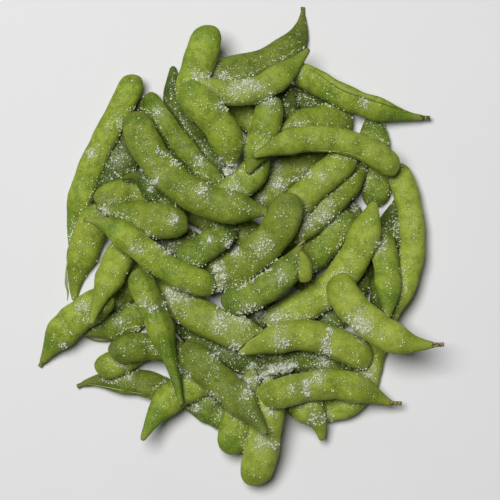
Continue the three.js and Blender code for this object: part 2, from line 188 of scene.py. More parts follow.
def corners_of(mesh):
    """The corners of a mesh, each once, and the neighbours of each."""
    index_at = {}
    corners = []
    index_of = []
    for vertex in mesh.vertices:
        key = tuple(round(c * MERGE) for c in vertex.co)
        if key not in index_at:
            index_at[key] = len(corners)
            corners.append(tuple(vertex.co))
        index_of.append(index_at[key])
    near = [set() for _ in corners]
    for edge in mesh.edges:
        a, b = (index_of[i] for i in edge.vertices)
        if a != b:
            near[a].add(b)
            near[b].add(a)
    return np.array(corners), near


def rings_of(mesh):
    """A solid's rings from its stem to its beak, as corner places [ring, side, xyz], and its beak's point.

    Each ring starts at the right-hand suture and goes over the top. The stem's end is flat, the beak's not.
    """
    corners, near = corners_of(mesh)
    poles = [i for i, around in enumerate(near) if len(around) == SIDES]
    poles.sort(key=lambda pole: np.linalg.norm(corners[list(near[pole])].mean(axis=0) - corners[pole]))
    stem, beak = poles
    rings = []
    seen = {stem}
    level = near[stem]
    while beak not in level:
        rings.append(corners[sorted(level)])
        seen |= level
        level = set().union(*(near[i] for i in level)) - seen
    return suture_first(np.array(rings)), corners[beak]


def suture_first(rings):
    """The same rings, each with its corners in order from the right-hand suture over the top."""
    centres = rings.mean(axis=1)
    travel = np.gradient(centres, axis=0)
    travel[:, 2] = 0
    travel /= np.linalg.norm(travel, axis=1)[:, None]
    right = np.stack([travel[:, 1], -travel[:, 0], np.zeros(len(rings))], axis=1)
    offsets = rings - centres[:, None]
    across = np.einsum("rsc,rc->rs", offsets, right)
    angles = np.arctan2(offsets[:, :, 2], across)

    # The widest ring's suture is its farthest corner on the right. The others follow from ring to ring.
    sizes = np.linalg.norm(offsets, axis=2)
    widest = int(sizes.max(axis=1).argmax())
    start = {widest: angles[widest][np.where(across[widest] > 0, sizes[widest], 0).argmax()]}
    for ring in range(widest + 1, len(rings)):
        start[ring] = nearest_angle(angles[ring], start[ring - 1])
    for ring in range(widest - 1, -1, -1):
        start[ring] = nearest_angle(angles[ring], start[ring + 1])
    turned = [np.mod(angles[ring] - start[ring] + ANGLE_SLACK, 2 * math.pi) for ring in range(len(rings))]
    return np.array([ring[turn.argsort()] for ring, turn in zip(rings, turned)])


def grid_faces(rows, columns, first):
    """The faces of a grid of points that is closed round, when its points are counted from first."""
    faces = []
    for row in range(rows - 1):
        near = first + row * columns
        far = near + columns
        for c in range(columns):
            d = (c + 1) % columns
            faces.append((near + c, far + c, far + d, near + d))
    return faces


def nearest_angle(angles, wanted):
    """Whichever of these angles is nearest to the wanted one."""
    gaps = np.abs(np.mod(angles - wanted + math.pi, 2 * math.pi) - math.pi)
    return angles[gaps.argmin()]


# --- A pod's skin ---------------------------------------------------------------------------------

ROW_STEP = 0.85 * MM                               # from ring to ring of the skin
QUADRANT = [0, 4, 9, 16, 26, 38, 51, 64, 77]       # degrees from a suture, closer together at the suture
THICKNESS_TO_WIDTH = 0.68                          # of a pod's body
RIDGE = 0.30 * MM                                  # a suture stands out by this
RIDGE_SPREAD = 5.0                                 # degrees
GROOVE = 0.10 * MM                                 # and has a groove of this depth beside it
GROOVE_AT = 14.0                                   # degrees
STUB_RADIUS = 1.1 * MM
CALYX_RADIUS = 1.6 * MM                            # the collar where the stalk meets the pod
CALYX_FLARE = 6                                    # how suddenly the stalk widens to it
TORN_BEVEL = 0.6                                   # share of its width left at a torn stem's very end
TAPER_RINGS = 3                                    # the taper ends this many rings from where it starts
TAPER_BLEND = 5.0 * MM                             # over this length the evened-out taper joins the rest
TAPER_EASE = 3.2 * MM                              # and over this length it is evened out
TIP_FADE = 0.35                                    # ridges fade in from the beak, in pod widths
SMOOTH_STEM = 2 * MM                               # no ridges as near the stem's end as this
STEM_FADE = 8 * MM                                 # and over this length they fade in
WAVES = ((9.0, 0.16), (3.0, 0.05))                 # unevenness: length and height, in millimetres
WAVE_SHIFT = 9                                     # how far the noise moves from pod to pod, at most
NECK_THICKNESS = 0.62                              # at this share of the full thickness there's no bulge


def column_angles():
    """Angles round a pod, in radians, from the right-hand suture over the top."""
    quarter = np.array(QUADRANT, float)
    half = np.concatenate([quarter, [90.0], 180 - quarter[:0:-1]])
    return np.radians(np.concatenate([half, half + 180]))


COLUMNS = column_angles()


def hermite(knots, values, at, end_slope=None):
    """A smooth curve through values at the knots, read at other places. end_slope is its slope at knot 0."""
    slopes = np.gradient(values, knots, axis=0)
    if end_slope is not None:
        slopes[0] = end_slope
    left = np.clip(np.searchsorted(knots, at, side="right") - 1, 0, len(knots) - 2)
    span = knots[left + 1] - knots[left]
    t = ((at - knots[left]) / span)[:, None]
    span = span[:, None]
    return (
        values[left] * (1 + 2 * t) * (1 - t) ** 2
        + values[left + 1] * t * t * (3 - 2 * t)
        + slopes[left] * span * t * (1 - t) ** 2
        + slopes[left + 1] * span * t * t * (t - 1)
    )


class Pod:
    """One pod's skin as a grid of points [row, column], with what its fuzz and colours need.

    Rows run from the beak to the stem, and columns start at the right-hand suture and go over the top.
    """

    def __init__(self, name, mesh, seed):
        self.name = name
        self.random = random.Random(seed)
        rings, self.beak = rings_of(mesh)
        self.has_stub = len(rings) % 3 == STUB_RINGS
        self.stub = np.linalg.norm(rings[1].mean(axis=0) - rings[0].mean(axis=0)) if self.has_stub else 0.0
        self.draw_through(rings)
        self.ease_taper(rings)
        if self.has_stub:
            self.shape_stub()
        else:
            for part in (self.across, self.above, self.below):
                part[-1] *= TORN_BEVEL
        self.points = self.skin()
        self.normals = self.grid_normals()

    def draw_through(self, rings):
        """Draws the pod's middle line, and how far it reaches from it, smoothly through the rings."""
        middle = (rings[:, RIGHT] + rings[:, LEFT]) / 2
        half_width = (rings[:, RIGHT] - rings[:, LEFT]) / 2
        above = rings[:, TOP] - middle
        below = rings[:, UNDER] - middle
        self.width = 2 * np.linalg.norm(half_width, axis=1).max()

        # Knots run from the beak to the stem. They crowd at the beak, so that it comes out round.
        zero = np.zeros((1, 3))
        middle = np.concatenate([self.beak[None], middle[::-1]])
        gaps = np.linalg.norm(np.diff(middle, axis=0), axis=1)
        from_tip = np.concatenate([[0], gaps.cumsum()])
        self.length = from_tip[-1]
        knots = np.sqrt(from_tip * (from_tip + self.width))
        rows = np.linspace(0, knots[-1], math.ceil(knots[-1] / ROW_STEP) + 1)[1:]
        self.from_tip = (np.sqrt(self.width ** 2 + 4 * rows ** 2) - self.width) / 2
        self.from_stem = self.length - self.from_tip
        self.middle = hermite(knots, middle, rows, end_slope=0)
        self.across = hermite(knots, np.concatenate([zero, half_width[::-1]]), rows)
        self.above = hermite(knots, np.concatenate([zero, above[::-1]]), rows)
        self.below = hermite(knots, np.concatenate([zero, below[::-1]]), rows)

    def ease_taper(self, rings):
        """Evens out the long taper at the stem, which the solid gives with only two rings."""
        centres = rings.mean(axis=1)
        places = np.concatenate([[0], np.linalg.norm(np.diff(centres, axis=0), axis=1).cumsum()])
        first = 1 if self.has_stub else 0
        start = places[first]
        end = places[first + TAPER_RINGS]
        share = np.clip((self.from_stem - start) / TAPER_BLEND, 0, 1)
        share *= np.clip((end - self.from_stem) / TAPER_BLEND + 1, 0, 1)
        gaps = self.from_stem[:, None] - self.from_stem[None]
        weights = np.exp(-0.5 * (gaps / TAPER_EASE) ** 2)
        weights /= weights.sum(axis=1, keepdims=True)
        for part in (self.across, self.above, self.below):
            part += share[:, None] * (weights @ part - part)

    def shape_stub(self):
        """Makes the stalk an even rod that flares to the collar only where it meets the pod."""
        place = np.clip(self.from_stem / self.stub, 0, 1)
        even = STUB_RADIUS + (CALYX_RADIUS - STUB_RADIUS) * place
        flare = STUB_RADIUS + (CALYX_RADIUS - STUB_RADIUS) * place ** CALYX_FLARE
        for part in (self.across, self.above, self.below):
            part *= (flare / even)[:, None]

    def skin(self):
        """The grid of points, with its ridges and a little unevenness."""
        cos = np.cos(COLUMNS)
        sin = np.sin(COLUMNS)
        spokes = (
            self.across[:, None] * cos[None, :, None]
            + self.above[:, None] * np.maximum(sin, 0)[None, :, None]
            + self.below[:, None] * np.maximum(-sin, 0)[None, :, None]
        )
        reach = np.linalg.norm(spokes, axis=2)
        outward = spokes / np.maximum(reach, TINY)[:, :, None]
        body = np.clip(self.from_tip / (TIP_FADE * self.width), 0, 1)
        body = body * np.clip((self.from_stem - SMOOTH_STEM) / STEM_FADE, 0, 1)
        points = self.middle[:, None] + spokes
        lift = self.ridges()[None] * body[:, None] + self.unevenness(points) * body[:, None]
        points = points + outward * lift[:, :, None]
        points[:, :, 2] = np.maximum(points[:, :, 2], 0)
        return points

    def ridges(self):
        """How far each column stands out: the sutures with a groove on both sides, and a crest if any."""
        from_suture = np.degrees(np.arcsin(np.abs(np.sin(COLUMNS))))
        lift = RIDGE * np.exp(-(from_suture / RIDGE_SPREAD) ** 2)
        lift = lift - GROOVE * np.exp(-((from_suture - GROOVE_AT) / RIDGE_SPREAD) ** 2)
        at, height = CRESTS.get(self.name, (0.0, 0.0))
        return lift + height * MM * np.exp(-np.abs(np.degrees(COLUMNS) - at) / CREST_SPREAD)

    def unevenness(self, points):
        """How far each point stands out or lies in, from noise that differs from pod to pod."""
        offset = Vector([self.random.uniform(-WAVE_SHIFT, WAVE_SHIFT) for _ in range(3)])
        heights = np.zeros(points.shape[:2])
        for length, height in WAVES:
            values = [noise.noise(Vector(p) / (length * MM) + offset) for p in points.reshape(-1, 3)]
            heights += height * MM * np.array(values).reshape(heights.shape)
        return heights

    def grid_normals(self):
        """Outward normals at the grid's points."""
        along = np.gradient(self.points, axis=0)
        around = np.roll(self.points, -1, axis=1) - np.roll(self.points, 1, axis=1)
        normals = np.cross(around, along)
        normals /= np.maximum(np.linalg.norm(normals, axis=2), TINY)[:, :, None]
        outward = self.points - self.middle[:, None]
        if np.einsum("rcx,rcx->rc", normals, outward).sum() < 0:
            normals = -normals
        return normals

    def build(self, material):
        """The pod's mesh object: the grid, closed at the beak and at the stem."""
        rows, columns = self.points.shape[:2]
        stem = rows * columns + 1
        points = np.concatenate([self.beak[None], self.points.reshape(-1, 3), self.middle[-1][None]])
        faces = [(0, 1 + c, 1 + (c + 1) % columns) for c in range(columns)]
        faces += grid_faces(rows, columns, 1)
        last = 1 + (rows - 1) * columns
        faces += [(last + c, stem, last + (c + 1) % columns) for c in range(columns)]
        mesh = bpy.data.meshes.new(self.name + "_skin")
        mesh.from_pydata(points.tolist(), [], faces)
        mesh.polygons.foreach_set("use_smooth", [True] * len(faces))
        mesh.materials.append(material)
        self.add_measures(mesh)
        return bpy.data.objects.new(self.name + "_skin", mesh)

    def add_measures(self, mesh):
        """What the material reads at each point: lengths in millimetres, and shares from 0 to 1."""
        thick = np.linalg.norm(self.above, axis=1) / (0.5 * THICKNESS_TO_WIDTH * self.width)
        bulge = np.clip((thick - NECK_THICKNESS) / (1 - NECK_THICKNESS), 0, 1)
        radius = np.linalg.norm(self.across, axis=1) / MM
        dry = DRY_STALKS.get(self.name, 0.0)
        # Painted shade: one share for the whole pod, darker still in its painted strips.
        painted_shade = PAINTED_SHADES.get(self.name, 0.0) / DEEPEST
        start, end, depth = PAINTED_SHADE_STRIPS.get(self.name, (0, 0, 0.0))
        degrees = np.degrees(COLUMNS)
        painted_strip = depth * ((degrees >= start) & (degrees <= end))
        self.add_measure(mesh, "bulge", bulge[:, None], 0, 0)
        self.add_measure(mesh, "from_tip", self.from_tip[:, None] / MM, 0, self.length / MM)
        self.add_measure(mesh, "from_stem", self.from_stem[:, None] / MM, self.length / MM, 0)
        self.add_measure(mesh, "from_seam", np.arcsin(np.abs(np.sin(COLUMNS))) * radius[:, None], 0, 0)
        self.add_measure(mesh, "chance", self.random.random(), 0.5, 0.5)
        self.add_measure(mesh, "stub", self.stub / MM, self.stub / MM, self.stub / MM)
        self.add_measure(mesh, "dry", dry, dry, dry)
        self.add_measure(mesh, "painted_shade", np.minimum(painted_shade + painted_strip, 1), painted_shade, painted_shade)
        self.add_measure(mesh, "frost", frost_at(self.points), 0, 0)

    def add_measure(self, mesh, name, grid, at_beak, at_stem):
        """Writes one measure: over the grid, or over what can be spread to it, and at the skin's two ends."""
        grid = np.broadcast_to(grid, self.points.shape[:2])
        values = np.concatenate([[at_beak], grid.reshape(-1), [at_stem]]).astype(np.float32)
        mesh.attributes.new(name, "FLOAT", "POINT").data.foreach_set("value", values)


# --- Materials ------------------------------------------------------------------------------------


def srgb(red, green, blue):
    """A linear colour from 0 to 255 values as a screen shows them."""
    linear = [((c / 255 + 0.055) / 1.055) ** 2.4 if c > 10 else c / 255 / 12.92 for c in (red, green, blue)]
    return (*linear, 1.0)


# Sockets of a mix node that carry colours. Its other sockets have the same names, so these have numbers.
FIRST_COLOR, SECOND_COLOR, MIXED_COLOR = 6, 7, 2


class Shader:
    """A short way to write a material's nodes. Values are plain ones or other nodes' outputs."""

    def __init__(self, name):
        self.material = bpy.data.materials.new(name)
        self.material.use_nodes = True
        self.tree = self.material.node_tree
        self.skin = self.tree.nodes["Principled BSDF"]
        self.place = self.tree.nodes.new("ShaderNodeTexCoord").outputs["Object"]

    def node(self, kind, **inputs):
        """A new node, with these inputs fed."""
        made = self.tree.nodes.new(kind)
        for key, value in inputs.items():
            self.feed(made.inputs[key.replace("_", " ")], value)
        return made

    def feed(self, socket, value):
        """Links the value to the socket if it comes from another node, or sets it there."""
        if isinstance(value, bpy.types.NodeSocket):
            self.tree.links.new(value, socket)
        else:
            socket.default_value = value

    def measure(self, name):
        """One of the measures that the mesh carries."""
        made = self.tree.nodes.new("ShaderNodeAttribute")
        made.attribute_name = name
        return made.outputs["Fac"]

    def noise(self, size, detail=3.0, rough=0.5):
        """Noise whose blotches are about this many metres wide."""
        made = self.node(
            "ShaderNodeTexNoise", Vector=self.place, Scale=1 / size, Detail=detail, Roughness=rough
        )
        return made.outputs["Fac"]

    def ramp(self, value, low, high, smooth=True):
        """Goes from 0 where value is low to 1 where it is high."""
        made = self.node("ShaderNodeMapRange", Value=value)
        made.inputs["From Min"].default_value = low
        made.inputs["From Max"].default_value = high
        made.interpolation_type = "SMOOTHSTEP" if smooth else "LINEAR"
        return made.outputs["Result"]

    def math(self, how, a, b):
        """A sum, a difference or a product."""
        made = self.tree.nodes.new("ShaderNodeMath")
        made.operation = how
        self.feed(made.inputs[0], a)
        self.feed(made.inputs[1], b)
        return made.outputs[0]

    def mix(self, share, first, second, how="MIX"):
        """The first colour where share is 0, the second where it is 1."""
        made = self.tree.nodes.new("ShaderNodeMix")
        made.data_type = "RGBA"
        made.blend_type = how
        self.feed(made.inputs["Factor"], share)
        self.feed(made.inputs[FIRST_COLOR], first)
        self.feed(made.inputs[SECOND_COLOR], second)
        return made.outputs[MIXED_COLOR]

    def tint(self, color, share, most, towards):
        """The colour, taken up to this part of the way towards another where share is 1."""
        return self.mix(self.math("MULTIPLY", share, most), color, towards)

    def bump(self, height, strength, distance, under=None):
        """A normal that makes the surface look uneven, over the unevenness of another."""
        made = self.node("ShaderNodeBump", Height=height, Strength=strength, Distance=distance)
        if under is not None:
            self.feed(made.inputs["Normal"], under)
        return made.outputs["Normal"]

    def set(self, **inputs):
        """Feeds the inputs of the surface itself."""
        for key, value in inputs.items():
            self.feed(self.skin.inputs[key.replace("_", " ")], value)


# Painted shade: what a pod's colour is multiplied by where it is drawn darkest, as if in shadow low in the
# heap.
PAINTED_SHADE_TINT = (0.26, 0.33, 0.14, 1.0)      # how much of each colour is left where a pod is darkest


def pod_material(name, body, light, dark):
    """Plant skin: body green, painted highlight over the beans, painted shade in the necks, dull,
    salt-dusted.
    """
    s = Shader(name)
    cloud = s.noise(4 * MM, 5.0, 0.6)
    color = skin_color(s, cloud, body, light, dark)
    color = end_color(s, cloud, color)
    # A few brown flecks.
    flecks = s.node("ShaderNodeTexVoronoi", Vector=s.place, Scale=1 / (7 * MM)).outputs["Distance"]
    color = s.tint(color, s.ramp(flecks, 0.08, 0.04), 0.5, srgb(96, 84, 30))
    # Painted shade: pods low in the heap, and strips along some, drawn darker as if in shadow.
    color = s.mix(s.measure("painted_shade"), color, PAINTED_SHADE_TINT, "MULTIPLY")
    color = powdered(s, color)

    veins = s.noise(1.5 * MM, 3.0, 0.6)
    fine = s.noise(0.4 * MM, 2.0)
    normal = s.bump(veins, 0.2, 0.3 * MM)
    normal = s.bump(fine, 0.45, 0.14 * MM, normal)
    rough = s.math("ADD", 0.56, s.math("MULTIPLY", cloud, 0.22))
    s.set(Base_Color=color, Roughness=rough, Normal=normal)
    s.set(Subsurface_Weight=0.06, Subsurface_Radius=(0.6, 1.0, 0.25), Subsurface_Scale=1.2 * MM)
    s.set(Specular_IOR_Level=0.3, Sheen_Weight=0.06, Sheen_Roughness=0.5, Sheen_Tint=srgb(205, 215, 150))
    return s.material


def skin_color(s, cloud, body, light, dark):
    """The greens of a pod, yellower in some pods than in others, with a thin darker line at the sutures."""
    bulge = s.measure("bulge")
    blotches = s.noise(11 * MM)
    grain = s.noise(0.8 * MM, 2.0)
    # Lighter in random blotches, and a painted highlight over the beans.
    color = s.mix(s.ramp(s.math("ADD", blotches, s.math("MULTIPLY", bulge, 0.35)), 0.35, 0.95), body, light)
    color = s.tint(color, s.ramp(cloud, 0.60, 0.35), 0.50, dark)
    # Painted shade in the necks between the beans.
    color = s.tint(color, s.ramp(bulge, 0.6, 0.0), 0.35, dark)
    color = s.tint(color, s.ramp(s.measure("chance"), 0.3, 1.0, False), 0.20, srgb(158, 156, 52))
    color = s.tint(color, s.ramp(grain, 0.52, 0.66), 0.28, srgb(182, 194, 96))
    color = s.tint(color, s.ramp(grain, 0.46, 0.34), 0.35, dark)
    return s.tint(color, s.ramp(s.measure("from_seam"), 0.75, 0.15), 0.55, srgb(74, 96, 16))


def end_color(s, cloud, color):
    """Yellower towards both ends, brown at the very end. A stalk is green too, or dry with dark spots."""
    from_stem = s.measure("from_stem")
    from_collar = s.math("SUBTRACT", from_stem, s.measure("stub"))
    from_tip = s.measure("from_tip")
    edge = s.math("ADD", from_stem, s.math("MULTIPLY", cloud, 1.2))
    spots = s.noise(1.1 * MM, 3.0)
    stalk = s.mix(s.ramp(spots, 0.46, 0.56), srgb(62, 66, 28), srgb(166, 156, 98))
    color = s.tint(color, s.ramp(from_collar, 9.0, 0.5), 0.40, srgb(160, 162, 70))
    color = s.tint(color, s.ramp(edge, 1.4, 0.7), 0.75, srgb(78, 70, 30))
    color = s.tint(color, s.ramp(from_collar, 0.8, -0.4), s.measure("dry"), stalk)
    color = s.tint(color, s.ramp(from_tip, 3.5, 0.0), 0.45, srgb(152, 148, 60))
    return s.tint(color, s.ramp(from_tip, 0.5, 0.1), 0.8, srgb(72, 58, 26))


def powdered(s, color):
    """The colour under powdered salt: everywhere a little, more in patches, most where salt lies thick."""
    patches = s.ramp(s.noise(7 * MM, 4.0, 0.6), 0.52, 0.74)
    thick = s.math("ADD", s.math("MULTIPLY", patches, 0.34), s.math("MULTIPLY", s.measure("frost"), 0.9))
    color = s.tint(color, thick, 0.14, srgb(172, 186, 132))
    powder = s.math("ADD", s.noise(0.5 * MM, 2.0), s.math("MULTIPLY", thick, 0.20))
    return s.tint(color, s.ramp(powder, 0.64, 0.78), 0.5, srgb(206, 212, 176))


def salt_material(name, dull, bright):
    """Crystals: pale, a little glassy, duller in places."""
    s = Shader(name)
    cloud = s.noise(0.8 * MM, 2.0)
    color = s.mix(s.ramp(cloud, 0.35, 0.65), dull, bright)
    s.set(Base_Color=color, Roughness=s.math("ADD", 0.25, s.math("MULTIPLY", cloud, 0.3)))
    s.set(Subsurface_Weight=0.1, Subsurface_Radius=(1.0, 1.0, 1.0), Subsurface_Scale=0.3 * MM)
    return s.material


def fuzz_material():
    """Fine hairs, yellow-green."""
    s = Shader("fuzz")
    cloud = s.noise(6 * MM, 2.0)
    color = s.mix(cloud, srgb(158, 176, 70), srgb(206, 214, 130))
    s.set(Base_Color=color, Roughness=s.math("ADD", 0.45, s.math("MULTIPLY", cloud, 0.2)))
    return s.material


def withered_material():
    """Dead plant fibre, brown and rough."""
    s = Shader("withered")
    cloud = s.noise(1.2 * MM, 4.0, 0.6)
    color = s.mix(s.ramp(cloud, 0.35, 0.65), srgb(74, 70, 30), srgb(142, 112, 62))
    s.set(Base_Color=color, Roughness=s.math("ADD", 0.55, s.math("MULTIPLY", cloud, 0.3)))
    s.set(Normal=s.bump(cloud, 0.5, 0.2 * MM))
    return s.material


def seam_material(name, dull, bright):
    """A line of firmer skin."""
    s = Shader(name)
    cloud = s.noise(1.5 * MM, 3.0)
    color = s.mix(cloud, dull, bright)
    s.set(Base_Color=color, Roughness=s.math("ADD", 0.5, s.math("MULTIPLY", cloud, 0.2)))
    return s.material


def floor_material():
    """A pale, dull surface."""
    s = Shader("pale_floor")
    cloud = s.noise(60 * MM, 2.0)
    color = s.mix(cloud, srgb(226, 226, 226), srgb(232, 232, 233))
    s.set(Base_Color=color, Roughness=s.math("ADD", 0.5, s.math("MULTIPLY", cloud, 0.1)))
    return s.material


GREENS = {
    "pod_pale": pod_material("pod_pale", srgb(144, 164, 40), srgb(164, 180, 66), srgb(88, 118, 12)),
    "pod_fresh": pod_material("pod_fresh", srgb(126, 152, 30), srgb(156, 174, 54), srgb(66, 99, 8)),
    # pod_deep is a darker green, and in part painted shade for pods that lie shadowed low in the heap.
    "pod_deep": pod_material("pod_deep", srgb(98, 126, 24), srgb(128, 150, 42), srgb(46, 76, 6)),
}
SALT = salt_material("salt", srgb(192, 197, 174), srgb(242, 244, 230))
SPECKS = salt_material("salt_specks", srgb(206, 214, 160), srgb(246, 250, 216))
FUZZ = fuzz_material()
WITHERED = withered_material()
PALE_SEAM = seam_material("pale_seam", srgb(140, 158, 60), srgb(180, 190, 100))
DARK_SEAM = seam_material("dark_seam", srgb(58, 78, 14), srgb(92, 110, 30))


# --- Pods -----------------------------------------------------------------------------------------


def place_piece(piece):
    """Puts a finished piece in the scene, as part of the heap's one body."""
    bpy.context.scene.collection.objects.link(piece)
    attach(piece, "root")
    return piece


slots = {part["node"]: part["material_slot"] for part in frame["record"]["subparts"]}
pods = []
for number, name in enumerate(sorted(frame["nodes"])):
    pod = Pod(name, frame["nodes"][name].data, number)
    piece = place_piece(pod.build(GREENS[slots[name]]))
    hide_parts(name)
    pods.append(pod)


# --- The heap's surface ---------------------------------------------------------------------------

MOUND_DETAIL = 4        # how finely the ball is divided
MOUND_LUMP = 2.2        # size of a mound's lumps, in millimetres
MOUND_FINE = 0.5        # share of the smaller lumps
MOUND_ROUGHNESS = 0.6
MOUND_LOWEST = 0.5 * MM
SKY = 0.1               # higher than anything in the heap
DOWN = Vector((0, 0, -1))


def mound_shape(x, y, z, long, wide, high, turn):
    """A lumpy, squashed ball, as points and faces."""
    ball = bmesh.new()
    bmesh.ops.create_icosphere(ball, subdivisions=MOUND_DETAIL, radius=1)
    middle = Vector((*spot(x, y), z * MM))
    points = []
    for vertex in ball.verts:
        place = Vector((vertex.co.x * long, vertex.co.y * wide, vertex.co.z * high))
        place.rotate(Euler((0, 0, math.radians(turn))))
        rough = noise.noise(place / MOUND_LUMP) + MOUND_FINE * noise.noise(place)
        point = middle + place * MM * (1 + MOUND_ROUGHNESS * rough)
        point.z = max(point.z, MOUND_LOWEST)
        points.append(point)
    faces = [tuple(vertex.index for vertex in face.verts) for face in ball.faces]
    ball.free()
    return points, faces


MOUND_SHAPES = [mound_shape(*mound) for mound in MOUNDS]


def heap_tree():
    """The pods' skins and the lumps of salt in one tree, to find where things land on the heap."""
    points = []
    faces = []
    for mound_points, mound_faces in MOUND_SHAPES:
        first = len(points)
        points += mound_points
        faces += [tuple(first + i for i in face) for face in mound_faces]
    for pod in pods:
        faces += grid_faces(*pod.points.shape[:2], len(points))
        points += pod.points.reshape(-1, 3).tolist()
    return BVHTree.FromPolygons(points, faces)


HEAP = heap_tree()


def land(x, y):
    """Where something dropped at x, y meets the heap, and the surface's normal there, or two Nones."""
    place, normal, _, _ = HEAP.ray_cast(Vector((x, y, SKY)), DOWN)
    if place is None:
        return None, None
    return place, normal if normal.z > 0 else -normal


class Crumbs:
    """Many small closed shapes, gathered into one mesh."""

    def __init__(self):
        self.points = []
        self.faces = []

    def add(self, points, faces):
        """Adds one shape, whose faces count its own points from 0."""
        first = len(self.points)
        self.points += [tuple(p) for p in points]
        self.faces += [tuple(first + i for i in face) for face in faces]

    def build(self, name, material):
        """The mesh object with all that was added."""
        mesh = bpy.data.meshes.new(name)
        mesh.from_pydata(self.points, [], self.faces)
        mesh.materials.append(material)
        return bpy.data.objects.new(name, mesh)


# --- Fuzz -----------------------------------------------------------------------------------------

HAIRS_PER_POD = 800
HAIR_LENGTH = (0.4 * MM, 0.95 * MM)
HAIR_RADIUS = 0.024 * MM
HAIR_ROOT = 0.05 * MM       # how deep a hair stands in the skin
HAIR_CORNERS = (0, 2.09, 4.19)      # the three corners of a hair's foot, in radians
HAIR_FACES = [(0, 1, 3), (1, 2, 3), (2, 0, 3), (0, 2, 1)]
HAIR_LEAN = (0.1, 0.8)      # how far hairs lean towards the tip, as a share of how far they stand up
HAIR_STRAY = 0.3            # and how far they stray from that
HAIR_LOWEST = 1.0 * MM      # hairs rooted lower than this would reach into the ground
BARE_AT_TIP = 3             # rows without hairs
BARE_AT_STEM = 6
ASKEW = 0.01                # keeps the direction across a hair from vanishing


def add_fuzz():
    """Short pale hairs that lean towards each pod's tip."""
    fuzz = Crumbs()
    draw = random.Random(11)
    for pod in pods:
        rows, columns = pod.points.shape[:2]
        for _ in range(HAIRS_PER_POD):
            row = draw.randrange(BARE_AT_TIP, rows - BARE_AT_STEM)
            column = draw.randrange(columns)
            share = draw.random()
            beside = pod.points[row - 1, (column + 1) % columns]
            point = pod.points[row, column] * share + beside * (1 - share)
            if point[2] < HAIR_LOWEST:
                continue
            normal = pod.normals[row, column]
            lean = pod.middle[row - 1] - pod.middle[row]
            lean = lean / np.linalg.norm(lean)
            stray = np.array([draw.gauss(0, HAIR_STRAY) for _ in range(3)])
            direction = normal + lean * draw.uniform(*HAIR_LEAN) + stray
            direction /= np.linalg.norm(direction)
            side = np.cross(direction, lean + ASKEW)
            side /= np.linalg.norm(side)
            other = np.cross(direction, side)
            root = point - HAIR_ROOT * normal
            foot = [root + HAIR_RADIUS * (math.cos(a) * side + math.sin(a) * other) for a in HAIR_CORNERS]
            tip = root + direction * draw.uniform(*HAIR_LENGTH)
            fuzz.add([*foot, tip], HAIR_FACES)
    place_piece(fuzz.build("fuzz", FUZZ))


# --- Salt -----------------------------------------------------------------------------------------

CUBE = [(x, y, z) for x in (-1, 1) for y in (-1, 1) for z in (-1, 1)]
CUBE_FACES = [(0, 1, 3, 2), (4, 6, 7, 5), (0, 4, 5, 1), (2, 3, 7, 6), (0, 2, 6, 4), (1, 5, 7, 3)]
OCTAHEDRON = [(1, 0, 0), (0, 1, 0), (-1, 0, 0), (0, -1, 0), (0, 0, 1), (0, 0, -1)]
OCTAHEDRON_FACES = [(0, 1, 4), (1, 2, 4), (2, 3, 4), (3, 0, 4), (1, 0, 5), (2, 1, 5), (3, 2, 5), (0, 3, 5)]
BLOCK = (CUBE, CUBE_FACES)
CHIP = (OCTAHEDRON, OCTAHEDRON_FACES)

GRAIN_STRETCH = (0.6, 1.0)      # each of a grain's measures, as a share of its size
GRAIN_WEAR = (0.75, 1.0)        # how far each corner still reaches
GRAIN_LIFT = 0.35               # how far a grain's middle lies above the skin, as a share of its size

# Sizes in millimetres.
CLUMP_GRAINS = (0.45, 1.0)
STRING_GRAINS = (0.4, 1.0)
SPECK_SIZES = (0.8, 1.4)
DUST_SIZES = (0.3, 0.65)

# Clumps: where a lump of noise is high more grains lie, and they pile higher.
TRIES = 2                       # places drawn for each grain of a clump
LOOSE = 1.1                     # how much wider than its spread a clump reaches
LUMP = 1.8 * MM                 # size of the lumps in a clump
LUMP_UNEVEN = 1.2
LUMP_LEVEL = 0.7                # chance of a grain in a clump's middle, before the lumps
LUMP_FADE = 0.3                 # fewer grains away from a clump's middle
HIGHEST_LUMP = 0.6              # the most of its clump's height that a grain is lifted by
CLUMP_STEEPEST = 0.2            # grains slide off where the normal is less upright than this

# Scattered salt: more in shallow hollows and in patches, little in the deep gaps.
SPECKS_COUNT = 3200
DUST_COUNT = 13000
SCATTER_STEEPEST = 0.3
HOLLOW_LOOK = 3.2 * MM          # how far round a place a hollow is looked for
HOLLOW_FULL = 3.5 * MM          # a hollow this deep would add a chance of 1
DEEP = 3.0 * MM                 # hollows deeper than this are gaps
DEEP_SHARE = 0.14
EVERYWHERE = 0.22               # chance of a grain on a level place
PATCH = 14 * MM                 # size of the patches
PATCH_LEVEL = 0.15
PATCH_UNEVEN = 1.6
OFF_PATCH = 0.5                 # what the chance is multiplied by outside the patches


def add_grain(salt, draw, place, normal, size, shape):
    """One grain, a worn and tilted block or chip, half sunk into what it lies on."""
    turn = Vector([draw.gauss(0, 1) for _ in range(3)]).normalized()
    side = turn.orthogonal().normalized()
    other = turn.cross(side)
    stretch = [size * draw.uniform(*GRAIN_STRETCH) for _ in range(3)]
    lift = Vector(place) + normal * size * GRAIN_LIFT
    corners, faces = shape
    points = []
    for x, y, z in corners:
        worn = draw.uniform(*GRAIN_WEAR) / 2
        corner = side * x * stretch[0] + other * y * stretch[1] + turn * z * stretch[2]
        points.append(lift + worn * corner)
    salt.add(points, faces)


def hollow(x, y, height):
    """How far the heap rises round this place, in metres: more than nothing in a hollow."""
    total = 0.0
    around = ((HOLLOW_LOOK, 0), (-HOLLOW_LOOK, 0), (0, HOLLOW_LOOK), (0, -HOLLOW_LOOK))
    for dx, dy in around:
        place, _ = land(x + dx, y + dy)
        total += (place.z if place else 0) - height
    return total / len(around)


